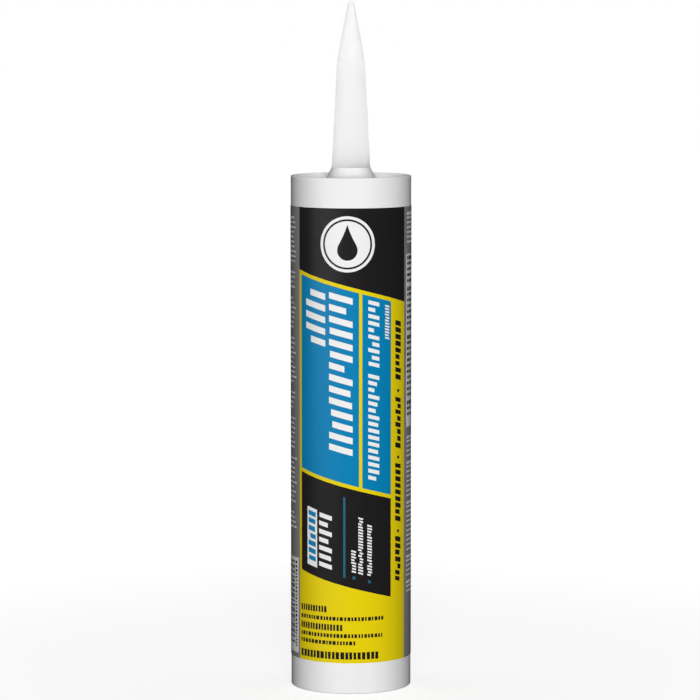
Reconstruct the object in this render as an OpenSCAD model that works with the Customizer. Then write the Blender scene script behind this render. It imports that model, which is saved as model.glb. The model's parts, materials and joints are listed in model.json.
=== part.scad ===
// Construction adhesive cartridge of the 10.3 fl oz (305 ml) size, full and with its
// nozzle still closed. +Z points along the nozzle, the origin is the centre of the open
// rear rim that the cartridge stands on, and the middle of the printed front faces -Y.

/* [Barrel] */
// Outside diameter of the barrel
barrel_od = 50; // [46:0.5:60]
// Wall thickness of the barrel
barrel_wall = 1.5; // [1.2:0.1:2.2]
// Length of the barrel, from rear rim to front rim
barrel_length = 213.5; // [200:0.5:240]
// Radius that rounds the edges of the rims
rim_round = 0.4; // [0.2:0.1:0.5]
// Width of the bevel that leads the plunger into the rear of the bore
lead_in = 0.5; // [0.3:0.1:0.7]

/* [Head] */
// Depth of the head's face below the front rim
head_recess = 4; // [3:0.5:6]
// Thickness of the head that closes the front of the bore
head_thickness = 2; // [1.5:0.1:3]
// Radius of the outlet through the head
outlet_r = 4.2; // [3:0.1:4.8]
// Height of the collar that carries the nozzle, above the front rim
collar_rise = 3.3; // [2:0.1:5]
// Angle at which the collar widens towards the head, from the axis
collar_flare = 27; // [15:1:35]
// Radius that blends the collar into the head
collar_blend = 3; // [2:0.5:4]
// Depth of the socket in the collar that the nozzle is welded into
socket_depth = 5; // [3:0.5:6]

/* [Nozzle] */
// Outside radius of the nozzle at its foot
nozzle_foot_r = 8; // [7.5:0.1:10]
// Outside radius of the nozzle where its taper changes
nozzle_waist_r = 5.8; // [4.5:0.1:6.5]
// Height above the front rim at which the taper changes
waist_height = 46.9; // [35:0.1:55]
// Radius of the closed, round tip
tip_r = 1.3; // [1:0.05:2]
// Height of the tip above the front rim
tip_height = 72.1; // [65:0.1:90]
// Wall thickness of the nozzle
nozzle_wall = 1.1; // [0.8:0.1:1.4]
// Radius of the spigot that goes into the collar's socket
spigot_r = 6.2; // [5.9:0.1:6.8]

/* [Seal] */
// Radius of the foil membrane across the outlet
foil_r = 11; // [8:0.5:16]
// Thickness of the foil membrane
foil_thickness = 0.15; // [0.1:0.05:0.3]

/* [Plunger] */
// Distance from the rear rim to the plunger's rear edge
plunger_inset = 11.4; // [5:0.1:20]
// Length of the plunger
plunger_length = 20; // [16:0.5:26]
// Wall thickness of the plunger's skirt
skirt_wall = 1.6; // [1.2:0.1:2.2]
// Bevel on the inside of the skirt's rear edge
skirt_bevel = 0.6; // [0.3:0.1:1]
// Thickness of the plunger's crown
crown_thickness = 2.4; // [1.8:0.1:3.5]
// Bevel round the front of the crown
crown_bevel = 1; // [0.5:0.1:1.5]
// Gap between the wiping lips and the bore
lip_clearance = 0.05; // [0.02:0.01:0.1]
// Length of each wiping lip along the bore
lip_length = 3; // [2:0.5:4]
// Depth of the waist between the wiping lips
lip_relief = 0.8; // [0.5:0.1:1.2]
// Number of ribs behind the crown
rib_count = 8; // [4:1:12]
// Height of the ribs
rib_height = 3.5; // [2:0.5:6]
// Thickness of the ribs
rib_thickness = 1.4; // [1:0.1:2]
// Radius of the boss where the ribs meet
boss_r = 5; // [3.5:0.5:7]
// Gap between the plunger's crown and the adhesive
fill_gap = 0.3; // [0.2:0.1:0.5]

/* [Label] */
// Width of the bare band between the rear rim and the label
rear_band = 12.9; // [8:0.1:20]
// Width of the bare band between the label and the front rim
front_band = 12.3; // [8:0.1:20]
// Thickness of the label film
film_thickness = 0.12; // [0.1:0.01:0.15]
// Thickness that the printed fields are drawn with
ink_thickness = 0.06; // [0.05:0.01:0.08]

/* [Print] */
// Fall of the slanted edges for each millimetre to the right
slant = 0.263; // [0.2:0.001:0.3]
// Left edge of the printed front, from its middle
front_left = -25.2; // [-27:0.1:-24]
// Right edge of the printed front, from its middle
front_right = 26.7; // [25:0.1:28]
// Width of the yellow border on the left
border_width = 1.5; // [1:0.1:2]
// Width of the yellow column on the right
column_width = 8.8; // [7:0.1:10]
// Gap between slanted fields, which shows as a yellow line
field_gap = 1.6; // [1:0.1:2]
// Centre of the yellow line between the two blue fields
split_at = 4; // [2:0.1:6]
// Width of the yellow line between the two blue fields
split_width = 1.35; // [1:0.05:2]
// Distance from the front rim to the foot of the upper black field, at the middle
upper_foot = 44.6; // [40:0.1:50]
// Distance from the front rim to the foot of the blue fields, at the middle
blue_foot = 126.3; // [110:0.1:140]
// Distance from the front rim to the foot of the lower black field, at the middle
lower_foot = 169; // [150:0.5:175]

/* [Hidden] */
$fn = 96;

white_plastic = "#f0f0ee";
natural_plastic = "#f7f7f5";
foil_silver = "#c9cbcd";
adhesive_tan = "#d9c9a3";
film_white = "#f5f5f2";
yellow_ink = "#e8d10c";
black_ink = "#231f20";
blue_ink = "#077cb3";
grey_ink = "#8c8b8c";

// Distance that a cut runs past a face, and a rib into its neighbour
past = 0.5;
// Straight steps that a quarter circle of a lathe profile is drawn with
arc_steps = 6;
// Longest stretch of the wrapped print that is drawn as one straight edge
edge_step = 4;

barrel_r = barrel_od / 2;
bore_r = barrel_r - barrel_wall;
head_face_z = barrel_length - head_recess;
head_inner_z = head_face_z - head_thickness;
collar_top_z = barrel_length + collar_rise;
socket_floor_z = collar_top_z - socket_depth;

// Centre of the arc that touches both the collar's cone and the head's face
blend_z = head_face_z + collar_blend;
blend_r = nozzle_foot_r
    + (collar_blend + (collar_top_z - blend_z) * sin(collar_flare)) / cos(collar_flare);

waist_z = barrel_length + waist_height;
ball_z = barrel_length + tip_height - tip_r;
nozzle_bore_r = spigot_r - nozzle_wall;
waist_bore_r = nozzle_waist_r - nozzle_wall;
tip_bore_r = tip_r - nozzle_wall / 2;
cavity_end_z = ball_z - nozzle_wall;
// Angle on the tip's ball at which the upper cone touches it
ball_start = atan2(waist_z - ball_z, nozzle_waist_r)
    + acos(tip_r / norm([nozzle_waist_r, waist_z - ball_z]));

plunger_back_z = plunger_inset;
plunger_front_z = plunger_back_z + plunger_length;
crown_back_z = plunger_front_z - crown_thickness;
front_lip_z = plunger_front_z - crown_bevel - lip_length;
lip_r = bore_r - lip_clearance;
waist_r = lip_r - lip_relief;
skirt_r = waist_r - skirt_wall;
fill_start_z = plunger_front_z + fill_gap;
fill_end_z = head_inner_z - foil_thickness;

label_bottom_z = rear_band;
label_top_z = barrel_length - front_band;
film_r = barrel_r + film_thickness;
ink_r = film_r + ink_thickness;

panel_left = front_left + border_width;
panel_right = front_right - column_width;
split_left = split_at - split_width / 2;
split_right = split_at + split_width / 2;

// Points of an arc in a lathe profile, from angle a to angle b about (x, z)
function arc(x, z, r, a, b) =
    let (steps = max(2, round(abs(b - a) / 90 * arc_steps)))
    [for (i = [0:steps]) let (t = a + (b - a) * i / steps) [x + r * cos(t), z + r * sin(t)]];

// Solid with the given half profile, turned about the axis
module turned(profile) {
    rotate_extrude() polygon(profile);
}

// Thin sleeve over the label's height, between two radii
module sleeve(inner_r, outer_r) {
    turned([
        [inner_r, label_bottom_z], [outer_r, label_bottom_z],
        [outer_r, label_top_z], [inner_r, label_top_z],
    ]);
}

// Barrel: open at the rear, closed at the front by a recessed head with the nozzle's collar
module barrel() {
    color(white_plastic)
        turned(concat(
            [[bore_r, lead_in], [bore_r + lead_in, 0]],
            arc(barrel_r - rim_round, rim_round, rim_round, -90, 0),
            arc(barrel_r - rim_round, barrel_length - rim_round, rim_round, 0, 90),
            arc(bore_r + rim_round, barrel_length - rim_round, rim_round, 90, 180),
            [[bore_r, head_face_z]],
            arc(blend_r, blend_z, collar_blend, 270, 180 + collar_flare),
            [[nozzle_foot_r, collar_top_z], [spigot_r, collar_top_z]],
            [[spigot_r, socket_floor_z], [outlet_r, socket_floor_z]],
            [[outlet_r, head_inner_z], [bore_r, head_inner_z]]
        ));
}

// Nozzle: a hollow taper in two stages with a closed tip, on a spigot
module nozzle() {
    color(natural_plastic)
        turned(concat(
            [[nozzle_bore_r, socket_floor_z], [spigot_r, socket_floor_z]],
            [[spigot_r, collar_top_z], [nozzle_foot_r, collar_top_z]],
            [[nozzle_waist_r, waist_z]],
            arc(0, ball_z, tip_r, ball_start, 90),
            [[0, cavity_end_z], [tip_bore_r, cavity_end_z]],
            [[waist_bore_r, waist_z], [nozzle_bore_r, collar_top_z]]
        ));
}

// Foil membrane, sealed to the inside of the head across the outlet
module foil_seal() {
    color(foil_silver)
        translate([0, 0, fill_end_z]) cylinder(r = foil_r, h = foil_thickness);
}

// Adhesive: fills the bore between the plunger and the foil
module adhesive() {
    color(adhesive_tan)
        translate([0, 0, fill_start_z]) cylinder(r = bore_r, h = fill_end_z - fill_start_z);
}

// Plunger: a cup that opens to the rear, with two wiping lips and a ribbed crown
module plunger() {
    color(white_plastic) {
        turned([
            [0, crown_back_z], [skirt_r, crown_back_z],
            [skirt_r, plunger_back_z + skirt_bevel], [skirt_r + skirt_bevel, plunger_back_z],
            [lip_r, plunger_back_z], [lip_r, plunger_back_z + lip_length],
            [waist_r, plunger_back_z + lip_length + lip_relief], [waist_r, front_lip_z - lip_relief],
            [lip_r, front_lip_z], [lip_r, plunger_front_z - crown_bevel],
            [lip_r - crown_bevel, plunger_front_z], [0, plunger_front_z],
        ]);
        translate([0, 0, crown_back_z - rib_height]) {
            cylinder(r = boss_r, h = rib_height + past);
            for (i = [0:rib_count - 1])
                rotate(i * 360 / rib_count)
                    translate([0, -rib_thickness / 2, 0])
                        cube([skirt_r + past, rib_thickness, rib_height + past]);
        }
    }
}

// Label film, wrapped once round the barrel
module label_film() {
    color(film_white) sleeve(barrel_r, film_r);
}

// The wrapped print is cut to outlines that lie in the XZ plane. A place on the label is
// given as the distance along the film to the right of the front's middle, and this is
// how far to the right it is seen from the front.
function seen(across) = film_r * sin(across * 180 / (PI * film_r));

// Points along a slanted edge, where foot is how far its middle lies below the front rim
function slanted_edge(foot, from, to) =
    let (steps = ceil(abs(to - from) / edge_step))
    [for (i = [0:steps]) let (across = from + (to - from) * i / steps)
        [seen(across), barrel_length - foot - slant * across]];

// Outline of a field with slanted top and bottom edges
function slanted_field(left, right, foot, top) =
    concat(slanted_edge(foot, left, right), slanted_edge(top, right, left));

// Bar through the front of the barrel with an outline in the XZ plane
module front_bar(outline) {
    rotate([90, 0, 0]) linear_extrude(height = ink_r + past) polygon(outline);
}

// Part of the print on the front, cut to an outline
module printed(outline) {
    intersection() {
        sleeve(film_r, ink_r);
        front_bar(outline);
    }
}

front_panel = [
    [seen(front_left), label_bottom_z], [seen(front_right), label_bottom_z],
    [seen(front_right), label_top_z], [seen(front_left), label_top_z],
];
upper_black = concat(
    slanted_edge(upper_foot, front_left, front_right),
    [[seen(front_right), label_top_z], [seen(front_left), label_top_z]]
);
left_blue = slanted_field(panel_left, split_left, blue_foot, upper_foot + field_gap);
right_blue = slanted_field(split_right, panel_right, blue_foot, upper_foot + field_gap);
lower_black = slanted_field(panel_left, panel_right, lower_foot, blue_foot + field_gap);

// Yellow ground of the front, open where another colour is printed
module print_yellow() {
    color(yellow_ink)
        difference() {
            printed(front_panel);
            for (field = [upper_black, left_blue, right_blue, lower_black]) front_bar(field);
        }
}

// Black fields at the top and below the middle of the front
module print_black() {
    color(black_ink)
        for (field = [upper_black, lower_black]) printed(field);
}

// Blue fields in the middle of the front
module print_blue() {
    color(blue_ink)
        for (field = [left_blue, right_blue]) printed(field);
}

// Grey ground of the sides and the back
module print_grey() {
    color(grey_ink)
        difference() {
            sleeve(film_r, ink_r);
            front_bar(front_panel);
        }
}

barrel();
nozzle();
foil_seal();
adhesive();
plunger();
label_film();
print_yellow();
print_black();
print_blue();
print_grey();
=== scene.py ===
# Construction adhesive cartridge, standing on its open rear end. The barrel, the nozzle and
# the plunger are turned round the axis, and the label is laid out flat and then wrapped
# round the barrel. All lengths below are in millimetres until a mesh is made from them.
import json
import math

import bmesh
import bpy
from mathutils import Matrix, Vector


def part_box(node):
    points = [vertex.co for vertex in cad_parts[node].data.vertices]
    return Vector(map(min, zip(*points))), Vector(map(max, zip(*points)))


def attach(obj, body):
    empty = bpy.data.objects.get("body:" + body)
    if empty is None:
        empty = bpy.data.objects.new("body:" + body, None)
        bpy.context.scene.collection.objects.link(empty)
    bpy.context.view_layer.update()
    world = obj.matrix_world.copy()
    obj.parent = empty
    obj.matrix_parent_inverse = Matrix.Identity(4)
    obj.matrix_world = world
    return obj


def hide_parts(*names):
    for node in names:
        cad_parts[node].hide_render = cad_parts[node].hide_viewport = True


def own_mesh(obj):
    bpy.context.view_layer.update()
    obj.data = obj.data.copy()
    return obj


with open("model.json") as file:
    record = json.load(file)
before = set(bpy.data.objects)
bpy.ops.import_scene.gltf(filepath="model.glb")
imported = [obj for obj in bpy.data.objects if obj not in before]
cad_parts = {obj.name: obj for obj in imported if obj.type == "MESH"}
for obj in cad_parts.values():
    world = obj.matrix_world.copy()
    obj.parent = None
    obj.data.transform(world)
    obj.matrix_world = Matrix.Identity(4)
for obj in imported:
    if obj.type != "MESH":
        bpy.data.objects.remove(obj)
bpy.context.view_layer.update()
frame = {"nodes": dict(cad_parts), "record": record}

MM = 0.001
mounts = {mount["name"]: mount for mount in frame["record"]["mounts"]}
film_low, film_high = (Vector(corner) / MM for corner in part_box("label_film"))
nozzle_high = Vector(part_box("nozzle")[1]) / MM
plunger_low, plunger_high = (Vector(corner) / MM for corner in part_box("plunger"))
fill_low, fill_high = (Vector(corner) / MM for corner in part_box("adhesive"))

# The barrel, its recessed head and the collar that holds the nozzle
BARREL_R = mounts["barrel_outside"]["dims"]["r_mm"]
RIM_Z = mounts["front_rim"]["pos_m"][2] / MM
BORE_R = 23.5
LEAD_IN = 0.5
HEAD_DEPTH = 4
HEAD_WALL = 2
HEAD_Z = RIM_Z - HEAD_DEPTH
HEAD_INNER_Z = HEAD_Z - HEAD_WALL
OUTLET_R = 4.2
COLLAR_Z = RIM_Z + 3.3
COLLAR_FLARE = math.radians(27)
COLLAR_BLEND = 3
SOCKET_Z = COLLAR_Z - 5

# The nozzle
FOOT_R = 8
SPIGOT_R = 6.2
NOZZLE_WALL = 1.1
WAIST_R = 5.8
WAIST_Z = RIM_Z + 46.9
TIP_R = 1.3
TIP_Z = nozzle_high.z

# The plunger
LIP_R = plunger_high.x
LIP_LENGTH = 3
LIP_RELIEF = 0.8
SKIRT_WALL = 1.6
CROWN = 2.4
RIB_COUNT = 8
RIB_HEIGHT = 3.5
RIB_WIDTH = 1.4
BOSS_R = 5
# How far the ribs and the boss run into the crown and the skirt
ROOT = 0.5

# The label. Across is the distance along the film to the right of the front's middle, and
# drop is the distance below the front rim at the front's middle.
FILM_R = film_high.x
LABEL_LOW = film_low.z
LABEL_HIGH = film_high.z
LABEL_TOP = RIM_Z - LABEL_HIGH
LABEL_FOOT = RIM_Z - LABEL_LOW
HALF_ROUND = math.pi * FILM_R
SLANT = 0.263
FRONT_LEFT = -25.2
FRONT_RIGHT = 26.7
PANEL_LEFT = FRONT_LEFT + 1.5
PANEL_RIGHT = FRONT_RIGHT - 8.8
SPLIT_LEFT = 3.32
SPLIT_RIGHT = 4.68
UPPER_FOOT = 44.6
BLUE_TOP = 46.2
BLUE_FOOT = 126.3
LOWER_TOP = 127.9
LOWER_FOOT = 169
SEAM = 1.2
# Middle of the round badge, across and drop
BADGE = (-1.5, 27)
# Pale panels on the sides: left, right, top and foot
RIGHT_PANEL = (28.7, 51, 32, 104)
LEFT_PANEL = (-51, -26.4, 158.5, 198.5)

# Heights of the printed layers over the film, each just proud of the one below
GROUND = 0.015
FIELD = 0.03
MARK = 0.045
OVERPRINT = 0.05
UPPER_MARK = 0.055
TOP_MARK = 0.06
# Depth that a printed layer is sunk into the film, and the longest flat step across it
SUNK = 0.02
STEP = 0.6

# Smallest turn between two faces that is drawn as a crease
CREASE = math.radians(30)

# Distance in metres from the camera to the cartridge's middle
TO_AXIS = 1.46


def linear(colour):
    """Turn an sRGB hex colour to the linear values that the shaders take"""
    values = [int(colour[place:place + 2], 16) / 255 for place in (1, 3, 5)]
    return [v / 12.92 if v <= 0.04045 else ((v + 0.055) / 1.055) ** 2.4 for v in values] + [1]


def add(tree, kind, inputs=None, **settings):
    """Add a node with its settings, and with numbers, sockets or nodes on its inputs"""
    node = tree.nodes.new(kind)
    for name, value in settings.items():
        setattr(node, name, value)
    for name, value in (inputs or {}).items():
        if isinstance(name, int):
            socket = node.inputs[name]
        else:
            socket = next(s for s in node.inputs if s.enabled and name in (s.identifier, s.name))
        if isinstance(value, bpy.types.Node):
            value = next(s for s in value.outputs if s.enabled)
        if isinstance(value, bpy.types.NodeSocket):
            tree.links.new(value, socket)
        else:
            socket.default_value = value
    return node


def new_tree(name, inputs):
    """Start a geometry tree with named inputs, given as name and socket type, and return it
    with the sockets that they come from"""
    tree = bpy.data.node_groups.new(name, "GeometryNodeTree")
    for label, kind in inputs.items():
        tree.interface.new_socket(label, in_out="INPUT", socket_type="NodeSocket" + kind)
    tree.interface.new_socket("Geometry", in_out="OUTPUT", socket_type="NodeSocketGeometry")
    return tree, add(tree, "NodeGroupInput").outputs


def end_tree(tree, shape, material):
    """End a geometry tree: creases, plain mesh and material"""
    smooth = add(tree, "GeometryNodeSetShadeSmooth", {"Geometry": shape, "Shade Smooth": True})
    turn = add(tree, "GeometryNodeInputMeshEdgeAngle")
    sharp = add(tree, "FunctionNodeCompare", {"A": turn, "B": CREASE}, operation="GREATER_THAN")
    creased = add(tree, "GeometryNodeSetShadeSmooth",
                  {"Geometry": smooth, "Selection": sharp, "Shade Smooth": False}, domain="EDGE")
    plain = add(tree, "GeometryNodeRealizeInstances", {"Geometry": creased})
    dressed = add(tree, "GeometryNodeSetMaterial", {"Geometry": plain, "Material": material})
    add(tree, "NodeGroupOutput", {"Geometry": dressed})


def grown(name, tree, mesh=None, **inputs):
    """Run a geometry tree on a mesh and return the object with the result as its plain mesh"""
    piece = bpy.data.objects.new(name, mesh or bpy.data.meshes.new(name))
    bpy.context.scene.collection.objects.link(piece)
    modifier = piece.modifiers.new("shape", "NODES")
    modifier.node_group = tree
    sockets = {s.name: s.identifier for s in tree.interface.items_tree if s.in_out == "INPUT"}
    for label, value in inputs.items():
        modifier[sockets[label.replace("_", " ").capitalize()]] = value
    seen = piece.evaluated_get(bpy.context.evaluated_depsgraph_get())
    made = bpy.data.meshes.new_from_object(seen)
    piece.modifiers.remove(modifier)
    piece.data = made
    return piece


def turned_tree():
    """Lathe: turns a profile, whose points are the mesh's points in order, round the axis"""
    tree, given = new_tree("turned", {"Geometry": "Geometry", "Segments": "Int",
                                      "Material": "Material"})
    size = add(tree, "GeometryNodeAttributeDomainSize", {"Geometry": given["Geometry"]})
    columns = add(tree, "ShaderNodeMath", {0: given["Segments"], 1: 1}, operation="ADD")
    grid = add(tree, "GeometryNodeMeshGrid",
               {"Vertices X": columns, "Vertices Y": size.outputs["Point Count"]})
    index = add(tree, "GeometryNodeInputIndex")
    along = add(tree, "FunctionNodeIntegerMath",
                {0: index, 1: size.outputs["Point Count"]}, operation="MODULO")
    column = add(tree, "FunctionNodeIntegerMath",
                 {0: index, 1: size.outputs["Point Count"]}, operation="DIVIDE_FLOOR")
    share = add(tree, "ShaderNodeMath", {0: column, 1: given["Segments"]}, operation="DIVIDE")
    angle = add(tree, "ShaderNodeMath", {0: share, 1: 2 * math.pi}, operation="MULTIPLY")
    place = add(tree, "GeometryNodeSampleIndex",
                {"Geometry": given["Geometry"], "Value": add(tree, "GeometryNodeInputPosition"),
                 "Index": along}, data_type="FLOAT_VECTOR")
    spun = add(tree, "ShaderNodeVectorRotate", {"Vector": place, "Angle": angle},
               rotation_type="Z_AXIS")
    lathe = add(tree, "GeometryNodeSetPosition",
                {"Geometry": grid.outputs["Mesh"], "Position": spun})
    closed = add(tree, "GeometryNodeMergeByDistance", {"Geometry": lathe, "Distance": 1e-6})
    end_tree(tree, closed, given["Material"])
    return tree


def wrap_group():
    """Wraps flat artwork round the barrel: x runs along the film, and -y is outwards"""
    tree, given = new_tree("wrap_round_barrel", {"Geometry": "Geometry"})
    flat = add(tree, "ShaderNodeSeparateXYZ", {0: add(tree, "GeometryNodeInputPosition")})
    radius = add(tree, "ShaderNodeMath", {0: FILM_R * MM, 1: flat.outputs["Y"]},
                 operation="SUBTRACT")
    angle = add(tree, "ShaderNodeMath", {0: flat.outputs["X"], 1: FILM_R * MM},
                operation="DIVIDE")
    out = add(tree, "ShaderNodeCombineXYZ",
              {"Y": add(tree, "ShaderNodeMath", {0: radius, 1: -1}, operation="MULTIPLY"),
               "Z": flat.outputs["Z"]})
    turned = add(tree, "ShaderNodeVectorRotate", {"Vector": out, "Angle": angle},
                 rotation_type="Z_AXIS")
    wrapped = add(tree, "GeometryNodeSetPosition",
                  {"Geometry": given["Geometry"], "Position": turned})
    add(tree, "NodeGroupOutput", {"Geometry": wrapped})
    return tree


def wrapped_tree(wrap):
    """Wraps a flat mesh round the barrel"""
    tree, given = new_tree("wrapped", {"Geometry": "Geometry", "Material": "Material"})
    shape = add(tree, "GeometryNodeGroup", node_tree=wrap)
    tree.links.new(given["Geometry"], shape.inputs[0])
    end_tree(tree, shape, given["Material"])
    return tree


def strokes_tree(wrap):
    """Rows of plain strokes on the film, which stand in for lines of print.

    A row runs to the right, or down the label where Upright is set. Strokes and gaps have
    lengths between their least and most, rows end raggedly, and a stroke may be shorter
    across the row, down to Least share of it."""
    tree, given = new_tree("strokes", {
        "Geometry": "Geometry", "Left": "Float", "Top": "Float", "Rows": "Int",
        "Pitch": "Float", "Run": "Float", "Height": "Float", "Least stroke": "Float",
        "Most stroke": "Float", "Least gap": "Float", "Most gap": "Float",
        "Least share": "Float", "Least run": "Float", "Slant": "Float", "Lift": "Float",
        "Steps": "Int", "Upright": "Bool", "Seed": "Int", "Material": "Material"})

    # One point for each stroke that a row could hold, row after row
    shortest = add(tree, "ShaderNodeMath",
                   {0: given["Least stroke"], 1: given["Least gap"]}, operation="ADD")
    fitting = add(tree, "ShaderNodeMath", {0: given["Run"], 1: shortest}, operation="DIVIDE")
    per_row = add(tree, "ShaderNodeMath", {0: fitting}, operation="CEIL")
    count = add(tree, "ShaderNodeMath", {0: given["Rows"], 1: per_row}, operation="MULTIPLY")
    points = add(tree, "GeometryNodePoints", {"Count": count})
    index = add(tree, "GeometryNodeInputIndex")
    row = add(tree, "FunctionNodeIntegerMath", {0: index, 1: per_row}, operation="DIVIDE_FLOOR")

    # Lengths drawn at random, each from a seed of its own
    seeds = [add(tree, "ShaderNodeMath", {0: given["Seed"], 1: offset}, operation="ADD")
             for offset in range(5)]
    stroke = add(tree, "FunctionNodeRandomValue",
                 {"Min_001": given["Least stroke"], "Max_001": given["Most stroke"],
                  "ID": index, "Seed": seeds[0]})
    gap = add(tree, "FunctionNodeRandomValue",
              {"Min_001": given["Least gap"], "Max_001": given["Most gap"],
               "ID": index, "Seed": seeds[1]})
    row_share = add(tree, "FunctionNodeRandomValue",
                    {"Min_001": given["Least run"], "ID": row, "Seed": seeds[2]})
    widest = add(tree, "ShaderNodeMath", {0: 2.0, 1: given["Least share"]},
                 operation="SUBTRACT")
    any_share = add(tree, "FunctionNodeRandomValue",
                    {"Min_001": given["Least share"], "Max_001": widest,
                     "ID": index, "Seed": seeds[3]})
    any_side = add(tree, "FunctionNodeRandomValue", {"ID": index, "Seed": seeds[4]})

    # A stroke is kept where it ends before its row does
    with_gap = add(tree, "ShaderNodeMath", {0: stroke, 1: gap}, operation="ADD")
    before = add(tree, "GeometryNodeAccumulateField",
                 {"Value": with_gap, "Group Index": row}).outputs["Trailing"]
    row_end = add(tree, "ShaderNodeMath", {0: given["Run"], 1: row_share},
                  operation="MULTIPLY")
    reach = add(tree, "ShaderNodeMath", {0: before, 1: stroke}, operation="ADD")
    kept = add(tree, "FunctionNodeCompare", {"A": reach, "B": row_end},
               operation="LESS_EQUAL")

    # About half of the strokes fill the row's height, and the others hang from either side
    share = add(tree, "ShaderNodeMath", {0: any_share, 1: 1.0}, operation="MINIMUM")
    tall = add(tree, "ShaderNodeMath", {0: share, 1: given["Height"]}, operation="MULTIPLY")
    spare = add(tree, "ShaderNodeMath", {0: given["Height"], 1: tall}, operation="SUBTRACT")
    side = add(tree, "ShaderNodeMath", {0: any_side}, operation="ROUND")
    hang = add(tree, "ShaderNodeMath", {0: tall, 1: 0.5}, operation="MULTIPLY")
    hung = add(tree, "ShaderNodeMath", {0: spare, 1: side, 2: hang}, operation="MULTIPLY_ADD")
    across = add(tree, "ShaderNodeMath", {0: row, 1: given["Pitch"], 2: hung},
                 operation="MULTIPLY_ADD")
    along = add(tree, "ShaderNodeMath", {0: stroke, 1: 0.5, 2: before},
                operation="MULTIPLY_ADD")
    thick = add(tree, "ShaderNodeMath", {0: given["Lift"], 1: SUNK * MM}, operation="ADD")
    depth = add(tree, "ShaderNodeMath", {0: thick, 1: -0.5, 2: SUNK * MM},
                operation="MULTIPLY_ADD")

    lying = add(tree, "ShaderNodeCombineXYZ", {
        "X": add(tree, "ShaderNodeMath", {0: given["Left"], 1: along}, operation="ADD"),
        "Y": depth,
        "Z": add(tree, "ShaderNodeMath", {0: given["Top"], 1: across}, operation="SUBTRACT")})
    standing = add(tree, "ShaderNodeCombineXYZ", {
        "X": add(tree, "ShaderNodeMath", {0: given["Left"], 1: across}, operation="ADD"),
        "Y": depth,
        "Z": add(tree, "ShaderNodeMath", {0: given["Top"], 1: along}, operation="SUBTRACT")})
    place = add(tree, "GeometryNodeSwitch",
                {"Switch": given["Upright"], "False": lying, "True": standing},
                input_type="VECTOR")
    size = add(tree, "GeometryNodeSwitch", {
        "Switch": given["Upright"],
        "False": add(tree, "ShaderNodeCombineXYZ", {"X": stroke, "Y": thick, "Z": tall}),
        "True": add(tree, "ShaderNodeCombineXYZ", {"X": tall, "Y": thick, "Z": stroke})},
        input_type="VECTOR")
    set_out = add(tree, "GeometryNodeSetPosition", {"Geometry": points, "Position": place})
    cube = add(tree, "GeometryNodeMeshCube", {"Vertices X": given["Steps"]})
    strokes = add(tree, "GeometryNodeInstanceOnPoints",
                  {"Points": set_out, "Selection": kept, "Instance": cube.outputs["Mesh"],
                   "Scale": size})
    flat = add(tree, "GeometryNodeRealizeInstances", {"Geometry": strokes})

    # The slant moves each point of a stroke down by its place across the label
    at = add(tree, "ShaderNodeSeparateXYZ", {0: add(tree, "GeometryNodeInputPosition")})
    rise = add(tree, "ShaderNodeMath", {0: given["Slant"], 1: -1.0}, operation="MULTIPLY")
    fall = add(tree, "ShaderNodeMath", {0: at.outputs["X"], 1: rise}, operation="MULTIPLY")
    slanted = add(tree, "GeometryNodeSetPosition",
                  {"Geometry": flat, "Offset": add(tree, "ShaderNodeCombineXYZ", {"Z": fall})})
    shape = add(tree, "GeometryNodeGroup", node_tree=wrap)
    tree.links.new(slanted.outputs[0], shape.inputs[0])
    end_tree(tree, shape, given["Material"])
    return tree


def rib_tree():
    """Ribs of the plunger: copies of one rib, set round the axis"""
    tree, given = new_tree("ribs", {"Geometry": "Geometry", "Count": "Int",
                                    "Material": "Material"})
    points = add(tree, "GeometryNodePoints", {"Count": given["Count"]})
    index = add(tree, "GeometryNodeInputIndex")
    share = add(tree, "ShaderNodeMath", {0: index, 1: given["Count"]}, operation="DIVIDE")
    angle = add(tree, "ShaderNodeMath", {0: share, 1: 2 * math.pi}, operation="MULTIPLY")
    turn = add(tree, "ShaderNodeCombineXYZ", {"Z": angle})
    ribs = add(tree, "GeometryNodeInstanceOnPoints",
               {"Points": points, "Instance": given["Geometry"], "Rotation": turn})
    flat = add(tree, "GeometryNodeRealizeInstances", {"Geometry": ribs})
    end_tree(tree, flat, given["Material"])
    return tree


def arc(centre_r, centre_z, radius, start, end, steps):
    """Points of an arc in a profile, as corners with no rounding of their own"""
    angles = [start + (end - start) * step / steps for step in range(steps + 1)]
    return [(centre_r + radius * math.cos(a), centre_z + radius * math.sin(a), 0)
            for a in angles]


def rounded(corners, closed=True):
    """Profile through corners, each given as radius from the axis, height and rounding.

    Long straight stretches get a point near each end, which keeps them flat under smooth
    shading."""
    points = []
    for place, (r, z, rounding) in enumerate(corners):
        here = Vector((r, z))
        if rounding == 0:
            points.append(here)
            continue
        before = (Vector(corners[place - 1][:2]) - here).normalized()
        after = (Vector(corners[(place + 1) % len(corners)][:2]) - here).normalized()
        half = before.angle(after) / 2
        centre = here + (before + after).normalized() * rounding / math.sin(half)
        spoke = here + before * rounding / math.tan(half) - centre
        turn = math.pi - 2 * half
        if before.cross(after) > 0:
            turn = -turn
        steps = max(3, round(math.degrees(abs(turn)) / 15))
        for step in range(steps + 1):
            points.append(centre + Matrix.Rotation(turn * step / steps, 2) @ spoke)
    if closed:
        points.append(points[0])
    held = [points[0]]
    for start, end in zip(points, points[1:]):
        if (end - start).length > 1.5:
            hold = (end - start).normalized() * 0.4
            held += [start + hold, end - hold]
        held.append(end)
    return held


def lathe(name, profile, material, segments=256):
    """Turned piece from a profile in millimetres"""
    mesh = bpy.data.meshes.new(name)
    mesh.from_pydata([(p.x * MM, 0, p.y * MM) for p in profile], [], [])
    return grown(name, turned, mesh, segments=segments, material=material)


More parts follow.
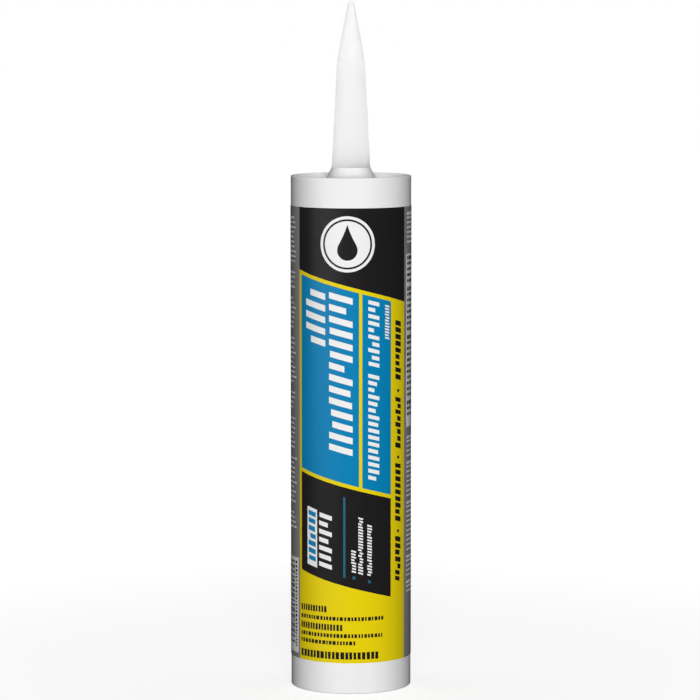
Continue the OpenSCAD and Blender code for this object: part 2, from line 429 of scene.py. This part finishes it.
def joined(name, pieces, material):
    """One piece from several, with their meshes put together"""
    bm = bmesh.new()
    for piece in pieces:
        bm.from_mesh(piece.data)
        bpy.data.objects.remove(piece)
    mesh = bpy.data.meshes.new(name)
    bm.to_mesh(mesh)
    bm.free()
    mesh.materials.append(material)
    whole = bpy.data.objects.new(name, mesh)
    bpy.context.scene.collection.objects.link(whole)
    return whole


def film_shape(lift, material, stations):
    """Thin printed shape on the film, from stations of across, upper drop and lower drop"""
    bm = bmesh.new()
    rings = []
    for across, upper, lower in stations:
        ring = []
        for drop, height in ((upper, lift), (lower, lift), (lower, -SUNK), (upper, -SUNK)):
            ring.append(bm.verts.new((across * MM, -height * MM, (RIM_Z - drop) * MM)))
        rings.append(ring)
    for near, far in zip(rings, rings[1:]):
        for corner in range(4):
            following = (corner + 1) % 4
            bm.faces.new((near[corner], near[following], far[following], far[corner]))
    bm.faces.new(rings[0][::-1])
    bm.faces.new(rings[-1])
    bmesh.ops.remove_doubles(bm, verts=bm.verts, dist=1e-7)
    bmesh.ops.dissolve_degenerate(bm, edges=bm.edges, dist=1e-7)
    bmesh.ops.recalc_face_normals(bm, faces=bm.faces)
    mesh = bpy.data.meshes.new("film_shape")
    bm.to_mesh(mesh)
    bm.free()
    return grown("film_shape", wrapped, mesh, material=material)


def film_field(lift, material, left, right, top, foot, top_slant=SLANT, foot_slant=SLANT):
    """Printed field between two drops, whose top and foot edges may be slanted"""
    steps = math.ceil((right - left) / STEP)
    places = [left + (right - left) * step / steps for step in range(steps + 1)]
    return film_shape(lift, material, [(u, top + top_slant * u, foot + foot_slant * u)
                                       for u in places])


def film_disc(lift, material, across, drop, radius):
    """Printed disc"""
    steps = math.ceil(2 * radius / STEP) + 6
    angles = [math.pi * step / steps for step in range(steps + 1)]
    return film_shape(lift, material, [
        (across - radius * math.cos(a), drop - radius * math.sin(a), drop + radius * math.sin(a))
        for a in angles])


def film_drop(lift, material, across, drop, radius, height):
    """Printed drop: a round belly at the given place, drawn up to a point at its height"""
    steps = 28
    angles = [math.pi * step / steps for step in range(steps + 1)]
    stations = []
    for a in angles:
        width = -math.cos(a)
        upper = drop - radius * math.sin(a) - (height - radius) * (1 - abs(width)) ** 2
        stations.append((across + radius * width, upper, drop + radius * math.sin(a)))
    return film_shape(lift, material, stations)


def print_run(material, left, right, top, foot, **options):
    """Lines of plain strokes in a space of the label; see the strokes tree for the options"""
    upright = options.get("upright", False)
    run, across = (foot - top, right - left) if upright else (right - left, foot - top)
    height = options.get("height", across)
    stroke = options["stroke"]
    gap = options["gap"]
    return grown(
        "strokes", strokes, left=left * MM, top=(RIM_Z - top) * MM,
        rows=options.get("rows", 1), pitch=options.get("pitch", 0.0) * MM,
        run=run * MM, height=height * MM,
        least_stroke=stroke[0] * MM, most_stroke=stroke[1] * MM,
        least_gap=gap[0] * MM, most_gap=gap[1] * MM,
        least_share=options.get("share", 1.0), least_run=options.get("least_run", 1.0),
        slant=options.get("slant", 0.0), lift=options.get("lift", MARK) * MM,
        steps=math.ceil((height if upright else stroke[1]) / 1.2) + 1, upright=upright,
        seed=options.get("seed", 1), material=material)


def small_print(material, left, right, top, foot, seed, lift=MARK, pitch=2.0, height=0.7):
    """Column of small print: paragraphs of plain rows, each under a short bolder line, with a
    margin round them"""
    pieces = []
    margin = 0.8
    drop = top + margin
    bold = height + 0.4
    while drop + 4 * pitch < foot:
        rows = min(4 + 3 * (seed % 3), int((foot - drop - bold) / pitch) - 1)
        pieces.append(print_run(material, left + margin, left + 0.6 * (right - left), drop,
                                drop + bold, stroke=(1.2, 2.6), gap=(0.4, 0.5), lift=lift,
                                seed=seed))
        pieces.append(print_run(material, left + margin, right - 0.6, drop + bold + 0.8, foot,
                                rows=rows, pitch=pitch, height=height, stroke=(0.7, 2.6),
                                gap=(0.4, 0.6), least_run=0.85, lift=lift, seed=seed + 5))
        drop += bold + pitch * rows + 1.6
        seed += 1
    return pieces


def mottled(tree, spot, size, low, high, stretch=(1, 1, 1), detail=2.0):
    """Noise with features of a size in millimetres, between two values"""
    scaled = add(tree, "ShaderNodeMapping", {"Vector": spot, "Scale": stretch})
    noise = add(tree, "ShaderNodeTexNoise",
                {"Vector": scaled, "Scale": 1 / (size * MM), "Detail": detail})
    return add(tree, "ShaderNodeMapRange",
               {"Value": noise.outputs["Fac"], "From Min": 0.3, "From Max": 0.7,
                "To Min": low, "To Max": high})


def finished(name, ior, tones, tone, gloss, relief, **sockets):
    """Material of one finish, from three patterns of mottle.

    Its tones are two sRGB colours that the tone pattern blends. Gloss is the pattern's size
    and the least and most roughness. Relief is a pattern with a depth in millimetres and a
    strength. A pattern is a size, a stretch and a detail."""
    material = bpy.data.materials.new(name)
    material.use_nodes = True
    tree = material.node_tree
    tree.nodes.clear()
    spot = add(tree, "ShaderNodeTexCoord").outputs["Object"]
    size, stretch, detail = tone
    colour = add(tree, "ShaderNodeMix", {
        "Factor": mottled(tree, spot, size, 0, 1, stretch, detail),
        6: linear(tones[0]), 7: linear(tones[1])}, data_type="RGBA")
    size, stretch, detail, depth, strength = relief
    bump = add(tree, "ShaderNodeBump", {
        "Height": mottled(tree, spot, size, 0, 1, stretch, detail),
        "Distance": depth * MM, "Strength": strength})
    shader = add(tree, "ShaderNodeBsdfPrincipled", {
        "Base Color": colour.outputs[2], "Roughness": mottled(tree, spot, *gloss),
        "Normal": bump, "IOR": ior})
    for label, value in sockets.items():
        shader.inputs[label.replace("_", " ").title()].default_value = value
    add(tree, "ShaderNodeOutputMaterial", {"Surface": shader})
    return material


def moulded_hdpe():
    """White high-density polyethylene, injection moulded against a fine-blasted tool: a
    satin skin with a soft edge to every highlight, and faint flow marks along the barrel.
    The real texture is about 0.1 mm across and is drawn at 0.7 mm, so that it shows."""
    return finished("white_hdpe_moulded", 1.54, tones=("#f5f5f5", "#f0f0ef"),
                    tone=(14, (1, 1, 0.2), 2), gloss=(3, 0.38, 0.47),
                    relief=(0.7, (1, 1, 1), 2, 0.02, 0.35), diffuse_roughness=0.0)


def natural_hdpe():
    """Unpigmented high-density polyethylene, injection moulded with a 1.1 mm wall: milky
    and translucent, so light from behind fills its edges, with a waxy satin skin. Less
    light comes through towards the tip, where the taper is nearly solid."""
    material = finished("natural_hdpe_moulded", 1.54, tones=("#fdfdfd", "#f9f9f9"),
                        tone=(9, (1, 1, 0.15), 2), gloss=(2.5, 0.36, 0.45),
                        relief=(0.8, (1, 1, 1), 2, 0.015, 0.3))
    tree = material.node_tree
    spot = add(tree, "ShaderNodeTexCoord").outputs["Object"]
    height = add(tree, "ShaderNodeSeparateXYZ", {0: spot}).outputs["Z"]
    share = add(tree, "ShaderNodeMapRange", {
        "Value": height, "From Min": WAIST_Z * MM, "From Max": TIP_Z * MM,
        "To Min": 0.85, "To Max": 0.6})
    through = add(tree, "ShaderNodeBsdfTranslucent", {"Color": linear("#fefefe")})
    milky = add(tree, "ShaderNodeMixShader",
                {0: share, 1: tree.nodes["Principled BSDF"], 2: through})
    tree.links.new(milky.outputs[0], tree.nodes["Material Output"].inputs["Surface"])
    return material


def rolled_foil():
    """Aluminium foil, heat sealed: bright metal with fine lines along its rolling direction.
    The real lines are about 0.05 mm apart and are drawn at 0.4 mm, so that they show."""
    return finished("aluminium_foil_rolled", 1.5, tones=("#d7d8d9", "#c9cbcd"),
                    tone=(0.4, (1, 0.03, 1), 2), gloss=(2, 0.22, 0.36),
                    relief=(0.4, (1, 0.03, 1), 2, 0.02, 0.4), metallic=1.0)


def filled_paste():
    """Chalk-filled acrylic adhesive, pumped in: a dense tan paste with a dull damp shine
    and soft swirls about 6 mm across"""
    return finished("chalk_filled_adhesive", 1.47, tones=("#ddcea9", "#cdbb92"),
                    tone=(6, (1, 1, 1), 4), gloss=(4, 0.42, 0.58),
                    relief=(1.5, (1, 1, 1), 4, 0.1, 0.5), subsurface_weight=0.1,
                    subsurface_radius=(1.0, 0.8, 0.5), subsurface_scale=0.001)


def printed_film(name, colour, other, roughness=0.34):
    """Ink under the clear skin of a polypropylene label film: an even colour with a slight
    mottle of the print, a semi-gloss skin, and a faint ripple where the film lies over the
    barrel. The print's real dots are about 0.15 mm apart, and their mottle is drawn at
    0.6 mm so that it shows."""
    return finished(name, 1.49, tones=(colour, other), tone=(0.6, (1, 1, 1), 2),
                    gloss=(5, roughness - 0.03, roughness + 0.04),
                    relief=(7, (1, 1, 0.4), 2, 0.03, 0.3))


white_hdpe = moulded_hdpe()
clear_hdpe = natural_hdpe()
foil = rolled_foil()
paste = filled_paste()
bare_film = printed_film("label_film_white", "#f5f5f4", "#f0f0ef")
yellow_ink = printed_film("label_ink_yellow", "#ecd50a", "#e6cf0c", 0.36)
black_ink = printed_film("label_ink_black", "#1c1a1b", "#1f1d1e")
blue_ink = printed_film("label_ink_blue", "#0484b9", "#057fb3")
slate_ink = printed_film("label_ink_slate_blue", "#2c6786", "#296280")
grey_ink = printed_film("label_ink_grey", "#908e8f", "#8b898a", 0.36)

turned = turned_tree()
wrap = wrap_group()
wrapped = wrapped_tree(wrap)
strokes = strokes_tree(wrap)
ribs = rib_tree()


def barrel_piece():
    """Barrel: open at the rear, with a recessed head and the nozzle's collar in front"""
    flare_r = FOOT_R + (COLLAR_Z - HEAD_Z) * math.tan(COLLAR_FLARE)
    return lathe("barrel_moulding", rounded([
        (BORE_R, LEAD_IN, 0.15), (BORE_R + LEAD_IN, 0, 0.1), (BARREL_R, 0, 0.4),
        (BARREL_R, RIM_Z, 0.4), (BORE_R, RIM_Z, 0.4), (BORE_R, HEAD_Z, 0.8),
        (flare_r, HEAD_Z, COLLAR_BLEND), (FOOT_R, COLLAR_Z, 0.1), (SPIGOT_R, COLLAR_Z, 0),
        (SPIGOT_R, SOCKET_Z, 0), (OUTLET_R, SOCKET_Z, 0.2), (OUTLET_R, HEAD_INNER_Z, 0.2),
        (BORE_R, HEAD_INNER_Z, 0.5)]), white_hdpe)


def nozzle_piece():
    """Nozzle: a hollow taper in two stages with a closed round tip, on its spigot. A fine
    groove marks the change of taper."""
    ball_z = TIP_Z - TIP_R
    reach = math.hypot(WAIST_R, WAIST_Z - ball_z)
    ball_start = math.atan2(WAIST_Z - ball_z, WAIST_R) + math.acos(TIP_R / reach)
    bore_r = SPIGOT_R - NOZZLE_WALL
    return lathe("nozzle_moulding", rounded([
        (0, ball_z - NOZZLE_WALL, 0), (TIP_R - NOZZLE_WALL / 2, ball_z - NOZZLE_WALL, 0.3),
        (WAIST_R - NOZZLE_WALL, WAIST_Z, 15), (bore_r, COLLAR_Z, 2), (bore_r, SOCKET_Z, 0.2),
        (SPIGOT_R, SOCKET_Z, 0), (SPIGOT_R, COLLAR_Z, 0), (FOOT_R, COLLAR_Z, 0.08),
        (WAIST_R + 0.02, WAIST_Z - 0.4, 0.2), (WAIST_R - 0.12, WAIST_Z - 0.1, 0.08),
        (WAIST_R - 0.14, WAIST_Z + 0.1, 0.08), (WAIST_R - 0.08, WAIST_Z + 0.4, 0.15),
        *arc(0, ball_z, TIP_R, ball_start, math.pi / 2, 8)], closed=False), clear_hdpe, 160)


def rib_mesh():
    """One rib behind the plunger's crown, with its free edges rounded"""
    crown_z = plunger_high.z - CROWN
    reach = LIP_R - LIP_RELIEF - SKIRT_WALL + ROOT
    bm = bmesh.new()
    bmesh.ops.create_cube(bm, size=1)
    for vert in bm.verts:
        vert.co.x = (vert.co.x + 0.5) * reach
        vert.co.y *= RIB_WIDTH
        vert.co.z = crown_z - RIB_HEIGHT + (vert.co.z + 0.5) * (RIB_HEIGHT + ROOT)
    low = [edge for edge in bm.edges
           if all(v.co.z < crown_z - 1 for v in edge.verts)
           and abs(edge.verts[0].co.x - edge.verts[1].co.x) > 1]
    bmesh.ops.bevel(bm, geom=low, offset=0.3, segments=3, affect="EDGES", profile=0.5)
    for vert in bm.verts:
        vert.co *= MM
    mesh = bpy.data.meshes.new("rib")
    bm.to_mesh(mesh)
    bm.free()
    return mesh


def plunger_piece():
    """Plunger: a cup that opens to the rear, with two wiping lips, ribs and a boss"""
    back, front = plunger_low.z, plunger_high.z
    crown_z = front - CROWN
    waist_r = LIP_R - LIP_RELIEF
    skirt_r = waist_r - SKIRT_WALL
    front_lip = front - 1 - LIP_LENGTH
    cup = lathe("cup", rounded([
        (0, crown_z, 0), (skirt_r, crown_z, 0.8), (skirt_r, back + 0.6, 0.2),
        (skirt_r + 0.6, back, 0.2), (LIP_R, back, 0.25), (LIP_R, back + LIP_LENGTH, 0.25),
        (waist_r, back + LIP_LENGTH + LIP_RELIEF, 0.4), (waist_r, front_lip - LIP_RELIEF, 0.4),
        (LIP_R, front_lip, 0.25), (LIP_R, front - 1, 0.25), (LIP_R - 1, front, 0.25),
        (0, front, 0)], closed=False), white_hdpe, 192)
    boss = lathe("boss", rounded([
        (0, crown_z - RIB_HEIGHT, 0), (BOSS_R, crown_z - RIB_HEIGHT, 0.3),
        (BOSS_R, crown_z + ROOT, 0), (0, crown_z + ROOT, 0)], closed=False), white_hdpe, 64)
    star = grown("star", ribs, rib_mesh(), count=RIB_COUNT, material=white_hdpe)
    return joined("plunger_moulding", [cup, boss, star], white_hdpe)


def adhesive_piece():
    """Adhesive between the plunger and the foil"""
    return lathe("adhesive_fill", rounded([
        (0, fill_low.z, 0), (BORE_R, fill_low.z, 0.3), (BORE_R, fill_high.z, 0.3),
        (0, fill_high.z, 0)], closed=False), paste, 128)


def film_piece():
    """Label film, wrapped once round the barrel"""
    return lathe("label_sleeve", rounded([
        (BARREL_R, LABEL_LOW, 0), (FILM_R, LABEL_LOW, 0.04), (FILM_R, LABEL_HIGH, 0.04),
        (BARREL_R, LABEL_HIGH, 0)]), bare_film, 256)


def yellow_print():
    """Yellow ground of the printed front"""
    return [film_field(GROUND, yellow_ink, FRONT_LEFT, FRONT_RIGHT, LABEL_TOP, LABEL_FOOT,
                       top_slant=0, foot_slant=0)]


def grey_print():
    """Grey ground of the sides and the back, open along the film's seam"""
    return [film_field(GROUND, grey_ink, left, right, LABEL_TOP, LABEL_FOOT,
                       top_slant=0, foot_slant=0)
            for left, right in ((FRONT_RIGHT, HALF_ROUND - SEAM / 2),
                                (SEAM / 2 - HALF_ROUND, FRONT_LEFT))]


def black_print():
    """Black fields, and the dark strokes on the yellow ground and the pale panels"""
    pieces = [
        film_field(FIELD, black_ink, FRONT_LEFT, FRONT_RIGHT, LABEL_TOP, UPPER_FOOT,
                   top_slant=0),
        film_field(FIELD, black_ink, PANEL_LEFT, PANEL_RIGHT, LOWER_TOP, LOWER_FOOT),
        film_disc(OVERPRINT, black_ink, *BADGE, 10.3),
        film_drop(TOP_MARK, black_ink, BADGE[0], BADGE[1] + 2.5, 4.2, 10.5),
    ]
    # Column of short bars down the yellow edge, in four stretches with dots between them. The
    # slant brings the column down, so its stretches start higher by as much.
    fall = 5.9
    for seed, (top, foot) in enumerate(((59.2, 85), (91, 112.5), (118.5, 143.5), (149, 169.3))):
        pieces.append(print_run(black_ink, 20.5, 24, top - fall, foot - fall, upright=True,
                                stroke=(1.7, 2.1), gap=(0.7, 0.9), share=0.5, slant=SLANT,
                                seed=seed))
    for drop in (88.1, 115.8, 146.6):
        pieces.append(film_disc(MARK, black_ink, 22.3, drop, 0.7))
    # Fine rows at the foot of the front
    for seed, (right, top, foot, stroke) in enumerate((
            (-10, 177, 179.6, (0.7, 1.1)), (15.5, 181.3, 182.9, (0.6, 1.5)),
            (-3.4, 184.5, 187.1, (0.7, 1.1)), (14.8, 188.4, 190, (0.6, 1.5)),
            (2, 191.4, 193, (0.6, 1.5)), (12.9, 196, 199, (0.9, 1.6)))):
        pieces.append(print_run(black_ink, -24, right, top, foot, stroke=stroke,
                                gap=(0.4, 0.6), seed=20 + seed))
    # Dark print on the pale panels of the sides
    pieces += small_print(black_ink, *RIGHT_PANEL, seed=30, lift=OVERPRINT, pitch=2.4,
                          height=1.3)
    left, right, top, foot = LEFT_PANEL
    pieces.append(print_run(black_ink, left + 1.5, right - 3.3, top + 1.5, foot - 1.5,
                            upright=True, stroke=(0.8, 2.0), gap=(0.4, 0.9), lift=OVERPRINT,
                            seed=36))
    pieces.append(print_run(black_ink, right - 2.6, right - 1, top + 1.5, foot - 1.5,
                            upright=True, stroke=(0.6, 1.2), gap=(0.5, 0.7), share=0.6,
                            lift=OVERPRINT, seed=37))
    return pieces


def blue_print():
    """Blue fields, and the blue bars on the lower black field"""
    return [
        film_field(FIELD, blue_ink, PANEL_LEFT, SPLIT_LEFT, BLUE_TOP, BLUE_FOOT),
        film_field(FIELD, blue_ink, SPLIT_RIGHT, PANEL_RIGHT, BLUE_TOP, BLUE_FOOT),
        print_run(blue_ink, -19.3, -15.5, 142.4, 165.2, upright=True, stroke=(1.9, 2.1),
                  gap=(1.0, 1.2), share=0.6, slant=SLANT, lift=UPPER_MARK, seed=41),
    ]


def slate_print():
    """Dull blue line and squares on the lower black field"""
    pieces = [film_field(MARK, slate_ink, -3.2, -2.3, 132, 165.5)]
    for across, drop in ((1.2, 164.8), (7.7, 166.6)):
        pieces.append(film_field(MARK, slate_ink, across - 0.6, across + 0.6,
                                 drop - 0.6 - SLANT * across, drop + 0.6 - SLANT * across))
    return pieces


def white_print():
    """White bars on the blue and black fields, the badge, and the pale panels and columns of
    small print on the sides"""
    pieces = [
        film_disc(MARK, bare_film, *BADGE, 11.5),
        film_disc(UPPER_MARK, bare_film, *BADGE, 9.5),
        film_field(MARK, bare_film, -20, -14.8, 141, 165.2),
        film_field(MARK, bare_film, *RIGHT_PANEL, top_slant=0, foot_slant=0),
        film_field(MARK, bare_film, *LEFT_PANEL, top_slant=0, foot_slant=0),
    ]
    # Bars: place on the label, then the length of a bar and of a gap, and the least width
    for seed, (left, right, top, foot, stroke, gap, share) in enumerate((
            (-20.6, -10.9, 50.3, 76.5, 2.6, 2.2, 0.55),
            (-9.2, 0.7, 49, 116.2, 2.6, 2.2, 0.55),
            (7.2, 12.1, 48, 75.5, 1.6, 1.2, 0.5),
            (7.2, 12.1, 78.3, 124, 1.6, 1.2, 0.5),
            (14.8, 17, 48.2, 62.2, 0.7, 0.5, 0.6),
            (-13.8, -8, 141.5, 164.8, 1.9, 1.5, 0.55),
            (0.1, 2.1, 153.2, 163.3, 0.7, 0.5, 0.6),
            (3, 5, 138.8, 163.2, 0.7, 0.5, 0.6),
            (6.8, 8.8, 141, 163, 0.7, 0.5, 0.6))):
        pieces.append(print_run(bare_film, left, right, top, foot, upright=True,
                                stroke=(stroke, stroke), gap=(gap, gap), share=share,
                                slant=SLANT, seed=60 + seed))
    # Columns of small print, right of the front and then left of it
    for seed, (left, right, top, foot) in enumerate((
            (28.6, 51, 14, 30), (28.6, 51, 107, 177), (53.5, 76.5, 14, 150),
            (-51, -26.6, 14, 156), (-76.5, -53.5, 14, 150))):
        pieces += small_print(bare_film, left, right, top, foot, 80 + 10 * seed)
    return pieces


barrel = barrel_piece()
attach(barrel, "cartridge")
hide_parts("barrel")

nozzle = nozzle_piece()
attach(nozzle, "cartridge")
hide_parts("nozzle")

plunger = plunger_piece()
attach(plunger, "plunger")
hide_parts("plunger")

adhesive = adhesive_piece()
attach(adhesive, "cartridge")
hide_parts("adhesive")
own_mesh(adhesive)

film = film_piece()
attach(film, "cartridge")
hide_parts("label_film")

for name, pieces, material, node, slot in (
        ("yellow_print", yellow_print(), yellow_ink, "print_yellow", "yellow_ink"),
        ("grey_print", grey_print(), grey_ink, "print_grey", "grey_ink"),
        ("black_print", black_print(), black_ink, "print_black", "black_ink"),
        ("blue_print", blue_print(), blue_ink, "print_blue", "blue_ink"),
        ("slate_print", slate_print(), slate_ink, None, "blue_ink"),
        ("white_print", white_print(), bare_film, None, "label_film")):
    layer = joined(name, pieces, material)
    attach(layer, "cartridge")
    if node:
        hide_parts(node)

foil_node = frame["nodes"]["foil_seal"]
foil_node.data.materials.clear()
foil_node.data.materials.append(foil)


def studio():
    """Camera at the photograph's place, its lamps, the floor and the white surround, all in
    metres.

    The lamps hang on the camera, as they would beside a turntable, so that each side of the
    cartridge is lit as its front is."""
    scene = bpy.context.scene
    lens = bpy.data.cameras.new("camera")
    lens.lens = 178.5
    lens.sensor_width = 36
    lens.clip_start = 0.05
    lens.clip_end = 50
    camera = bpy.data.objects.new("camera", lens)
    camera.location = (-0.0004, -1.4392, 0.2888)
    camera.rotation_euler = (math.radians(90 - 5.88), 0, 0)
    scene.collection.objects.link(camera)
    scene.camera = camera

    # Place of each lamp seen from the camera: right, up and back, then its width, height,
    # power and whether diffuse and glossy rays catch it
    for name, place, width, height, watts, matt, glossy in (
            ("key_softbox", (0.05, 0.0, 0.8), 0.8, 0.8, 50, True, False),
            ("side_softbox", (-0.8, 0.05, -0.7), 0.5, 1.2, 1.9, False, True),
            ("top_softbox", (0, 1.5, -TO_AXIS), 1.6, 0.6, 7.5, True, False)):
        lamp = bpy.data.lights.new(name, "AREA")
        lamp.shape = "RECTANGLE"
        lamp.size = width
        lamp.size_y = height
        lamp.energy = watts
        holder = bpy.data.objects.new(name, lamp)
        scene.collection.objects.link(holder)
        holder.parent = camera
        holder.location = place
        holder.visible_diffuse = matt
        holder.visible_glossy = glossy
        aim = Vector((0, 0, -TO_AXIS)) - Vector(place)
        holder.rotation_euler = aim.to_track_quat("-Z", "Y").to_euler()

    # White behind the cartridge and through it. The sides of the studio are dark, because the
    # film's gloss stays dark towards its edges, so glossy rays find only a little light there.
    world = bpy.data.worlds.new("surround")
    scene.world = world
    world.use_nodes = True
    tree = world.node_tree
    tree.nodes.clear()
    rays = add(tree, "ShaderNodeLightPath")
    seen = add(tree, "ShaderNodeMath", {0: rays.outputs["Is Camera Ray"],
                                        1: rays.outputs["Is Transmission Ray"]},
               operation="MAXIMUM")
    dim = add(tree, "ShaderNodeMapRange", {"Value": rays.outputs["Is Glossy Ray"],
                                           "To Min": 0.03, "To Max": 0.1})
    level = add(tree, "ShaderNodeMapRange", {"Value": seen, "To Min": dim, "To Max": 1.0})
    glow = add(tree, "ShaderNodeBackground", {"Color": (1, 1, 1, 1), "Strength": level})
    add(tree, "ShaderNodeOutputWorld", {"Surface": glow})

    bm = bmesh.new()
    bmesh.ops.create_circle(bm, cap_ends=True, radius=12, segments=64)
    mesh = bpy.data.meshes.new("floor")
    bm.to_mesh(mesh)
    bm.free()
    floor = bpy.data.objects.new("floor", mesh)
    # Just under the rear rim, so that the two faces don't flicker
    floor.location.z = -0.0001
    scene.collection.objects.link(floor)
    # Lamps that hang below it still light the open rear end
    floor.visible_shadow = False

    # Pale floor: white in the picture, with the cartridge's soft shadow, and plain from below
    material = bpy.data.materials.new("floor_paper")
    material.use_nodes = True
    tree = material.node_tree
    tree.nodes.clear()
    rays = add(tree, "ShaderNodeLightPath")
    spot = add(tree, "ShaderNodeTexCoord").outputs["Object"]
    away = add(tree, "ShaderNodeVectorMath", {0: spot}, operation="LENGTH")
    level = add(tree, "ShaderNodeMapRange",
                {"Value": away.outputs["Value"], "From Min": 0.1, "From Max": 0.6,
                 "To Min": 0.76, "To Max": 1.0}, interpolation_type="SMOOTHSTEP")
    glow = add(tree, "ShaderNodeEmission",
               {"Strength": add(tree, "ShaderNodeMath",
                                {0: level, 1: rays.outputs["Is Camera Ray"]},
                                operation="MULTIPLY")})
    tone = add(tree, "ShaderNodeMix", {"Factor": rays.outputs["Is Camera Ray"],
                                       6: linear("#505050"), 7: linear("#b0b0b0")},
               data_type="RGBA")
    paper = add(tree, "ShaderNodeBsdfDiffuse", {"Color": tone.outputs[2]})
    both = add(tree, "ShaderNodeAddShader", {0: glow, 1: paper})
    clear = add(tree, "ShaderNodeBsdfTransparent")
    side = add(tree, "ShaderNodeNewGeometry").outputs["Backfacing"]
    face = add(tree, "ShaderNodeMixShader", {0: side, 1: both, 2: clear})
    add(tree, "ShaderNodeOutputMaterial", {"Surface": face})
    floor.data.materials.append(material)
    scene.view_settings.view_transform = "Standard"


studio()
